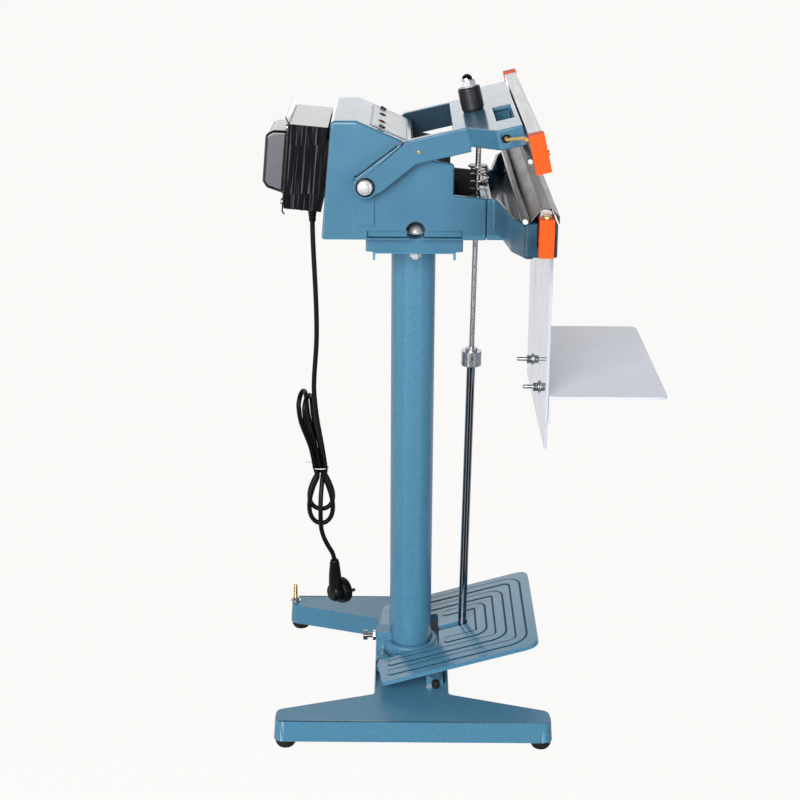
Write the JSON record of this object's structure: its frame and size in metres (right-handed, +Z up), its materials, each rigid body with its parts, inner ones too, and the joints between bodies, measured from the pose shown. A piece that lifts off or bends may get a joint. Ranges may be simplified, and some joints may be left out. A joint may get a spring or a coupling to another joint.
{
  "type": "foot pedal impulse heat sealer",
  "caption": "Floor-standing impulse heat sealer: H-shaped base, column, head with long jaws on a swinging arm frame, foot pedal with pull rod, and a height-adjustable work tray.",
  "frame": {"origin": "on the floor under the middle of the footprint, the mains cord left out", "axes": "+Z up, -Y towards the operator and the pedal, -X to the operator's left"},
  "size_m": [0.536, 0.5124, 0.8649],
  "materials": {
    "blue_paint": "glossy hammered paint",
    "chrome": "polished",
    "zinc_steel": "bright zinc",
    "yellow_zinc": "yellow zinc plated steel",
    "aluminium": "drawn bar",
    "lamination": "stacked sheets, varnished",
    "black_steel": "semi-gloss black",
    "winding": "varnished copper",
    "black_plastic": "moulded",
    "rubber": "matte",
    "orange_plastic": "moulded",
    "coated_cloth": "smooth coated glass cloth",
    "label_plate": "printed label",
    "red_lens": "lens",
    "green_lens": "lens",
    "yellow_sleeve": "woven sleeve",
    "circuit": "circuit board",
    "board_sheet": "pale polished sheet",
    "tray_sheet": "white enamel"
  },
  "bodies": {
    "stand": {"base_casting": "blue_paint", "column": "blue_paint", "column_clamp_bolt": "zinc_steel", "rubber_foot_left_front": "rubber", "rubber_foot_left_rear": "rubber", "rubber_foot_right_front": "rubber", "rubber_foot_right_rear": "rubber", "levelling_stud": "yellow_zinc", "column_top_plate": "blue_paint", "head_housing": "blue_paint", "head_bolt_left": "chrome", "head_bolt_right": "chrome", "control_panel": "label_plate", "lamp_heat": "red_lens", "lamp_power": "green_lens", "timer_board": "circuit", "micro_switch": "black_plastic", "transformer_core": "lamination", "transformer_coil": "winding", "transformer_frame": "black_steel", "transformer_bell": "black_steel", "pivot_bolt_left": "chrome", "pivot_bolt_right": "chrome", "lower_jaw_beam": "blue_paint", "lower_jaw_bar": "aluminium", "heating_element": "zinc_steel", "lower_seal_cloth": "coated_cloth", "lower_cap_left": "orange_plastic", "lower_cap_right": "orange_plastic", "guide_rod": "chrome", "backboard": "board_sheet", "pedal_shaft": "zinc_steel", "return_spring": "zinc_steel", "cord_relief": "rubber", "cord_drop": "rubber", "cord_hank": "rubber", "cord_tail": "rubber", "mains_plug": "black_plastic"},
    "arm": {"arm_frame": "blue_paint", "pivot_bush_left": "black_plastic", "pivot_bush_right": "black_plastic", "pressure_spindle": "zinc_steel", "pressure_sleeve": "black_plastic", "upper_jaw_bar": "aluminium", "upper_cap_left": "orange_plastic", "upper_cap_right": "orange_plastic", "upper_seal_cloth": "coated_cloth", "upper_clamp_rod": "chrome", "jaw_wire_sleeve": "yellow_sleeve"},
    "pressure_nut": {"acorn_nut": "chrome"},
    "pull_rod": {"pull_rod_upper": "zinc_steel", "pull_rod_lower": "chrome", "rod_collar": "zinc_steel", "rod_foot_nut": "zinc_steel"},
    "foot_pedal": {"pedal": "blue_paint"},
    "work_tray": {"tray": "tray_sheet", "tray_bolt_left": "zinc_steel", "tray_bolt_right": "zinc_steel"},
    "dial_left": {"timer_dial_left": "black_plastic"},
    "dial_right": {"timer_dial_right": "black_plastic"}
  },
  "joints": [
    {"name": "arm_swing", "type": "hinge", "parent": "stand", "child": "arm", "pos_m": [0, 0.12426, 0.742], "axis": [1, 0, 0], "range_deg": [0, 13.3], "stiffness_Nm_per_rad": 12, "springref_deg": -57.3},
    {"name": "rod_pull", "type": "slide", "parent": "stand", "child": "pull_rod", "axis": [0, -0.1815, -0.9834], "range_m": [0, 0.035], "deforming": ["return_spring"]},
    {"name": "pedal_press", "type": "hinge", "parent": "stand", "child": "foot_pedal", "pos_m": [0, 0.10126, 0.054], "axis": [1, 0, 0], "range_deg": [0, 17]},
    {"name": "tray_height", "type": "slide", "parent": "stand", "child": "work_tray", "axis": [0, 0, 1], "range_m": [-0.02, 0.15]},
    {"name": "pressure_turn", "type": "hinge", "parent": "arm", "child": "pressure_nut", "pos_m": [0, -0.01171, 0.81884], "axis": [0, 0.23, 0.9732], "range_deg": [-180, 180]},
    {"name": "dial_turn_left", "type": "hinge", "parent": "stand", "child": "dial_left", "pos_m": [-0.071, 0.1049, 0.80705], "axis": [0, -0.3923, 0.9198], "range_deg": [-135, 135]},
    {"name": "dial_turn_right", "type": "hinge", "parent": "stand", "child": "dial_right", "pos_m": [0.071, 0.1049, 0.80705], "axis": [0, -0.3923, 0.9198], "range_deg": [-135, 135]}
  ],
  "couplings": [
    {"joint": "rod_pull", "follows": "arm_swing", "m_per_rad": 0.15},
    {"joint": "pedal_press", "follows": "arm_swing", "ratio": 1.2771}
  ]
}
